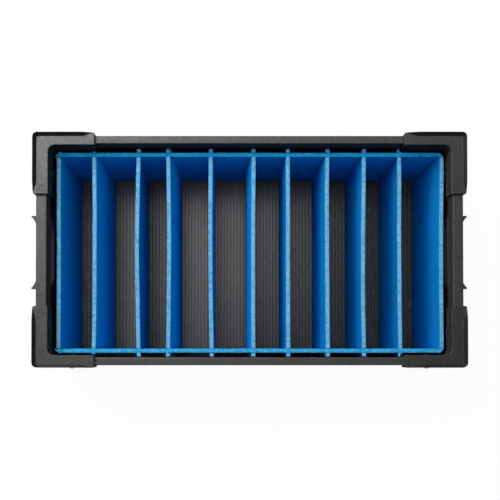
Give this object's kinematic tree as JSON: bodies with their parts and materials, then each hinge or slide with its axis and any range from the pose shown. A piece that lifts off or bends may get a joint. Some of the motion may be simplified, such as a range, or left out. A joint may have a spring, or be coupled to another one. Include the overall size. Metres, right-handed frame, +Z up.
{
  "type": "laptop storage box",
  "caption": "Long stacking crate of black twin-wall sheet with channel rails, moulded corner caps and end hand grips, divided into upright laptop bays by a lift-out half-lapped foam grid.",
  "frame": {"origin": "on the ground under the middle of the box", "axes": "+X along the box's length, +Y to its rear long side, +Z up"},
  "size_m": [0.8326, 0.4432, 0.3243],
  "materials": {
    "twin_wall_sheet": "satin",
    "rail_plastic": "satin",
    "cap_plastic": "matte",
    "grip_plastic": "matte",
    "rivet_plastic": "satin",
    "foam": "matte"
  },
  "bodies": {
    "crate": {"floor_panel": "twin_wall_sheet", "front_wall": "twin_wall_sheet", "rear_wall": "twin_wall_sheet", "front_liner": "twin_wall_sheet", "rear_liner": "twin_wall_sheet", "left_end_wall": "twin_wall_sheet", "right_end_wall": "twin_wall_sheet", "left_end_liner": "twin_wall_sheet", "right_end_liner": "twin_wall_sheet", "left_front_flap": "twin_wall_sheet", "left_rear_flap": "twin_wall_sheet", "right_front_flap": "twin_wall_sheet", "right_rear_flap": "twin_wall_sheet", "front_rail": "rail_plastic", "rear_rail": "rail_plastic", "left_rail": "rail_plastic", "right_rail": "rail_plastic", "cap_front_left": "cap_plastic", "cap_front_right": "cap_plastic", "cap_rear_left": "cap_plastic", "cap_rear_right": "cap_plastic", "rivet_front_left_side": "rivet_plastic", "rivet_front_left_end": "rivet_plastic", "rivet_front_right_side": "rivet_plastic", "rivet_front_right_end": "rivet_plastic", "rivet_rear_left_side": "rivet_plastic", "rivet_rear_left_end": "rivet_plastic", "rivet_rear_right_side": "rivet_plastic", "rivet_rear_right_end": "rivet_plastic", "left_grip_frame": "grip_plastic", "left_grip_ring": "grip_plastic", "right_grip_frame": "grip_plastic", "right_grip_ring": "grip_plastic", "left_grip_rivet_1": "rivet_plastic", "left_grip_rivet_2": "rivet_plastic", "left_grip_rivet_3": "rivet_plastic", "left_grip_rivet_4": "rivet_plastic", "right_grip_rivet_1": "rivet_plastic", "right_grip_rivet_2": "rivet_plastic", "right_grip_rivet_3": "rivet_plastic", "right_grip_rivet_4": "rivet_plastic"},
    "cross_sheets": {"foam_end_left": "foam", "foam_divider_1": "foam", "foam_divider_2": "foam", "foam_divider_3": "foam", "foam_divider_4": "foam", "foam_divider_5": "foam", "foam_divider_6": "foam", "foam_divider_7": "foam", "foam_divider_8": "foam", "foam_divider_9": "foam", "foam_end_right": "foam"},
    "front_long_sheet": {"foam_long_front": "foam"},
    "rear_long_sheet": {"foam_long_rear": "foam"}
  },
  "joints": [
    {"name": "cross_sheets_lift", "type": "slide", "parent": "crate", "child": "cross_sheets", "axis": [0, 0, 1], "range_m": [0, 0.335]},
    {"name": "front_long_sheet_lift", "type": "slide", "parent": "cross_sheets", "child": "front_long_sheet", "axis": [0, 0, 1], "range_m": [0, 0.27]},
    {"name": "rear_long_sheet_lift", "type": "slide", "parent": "cross_sheets", "child": "rear_long_sheet", "axis": [0, 0, 1], "range_m": [0, 0.27]}
  ]
}
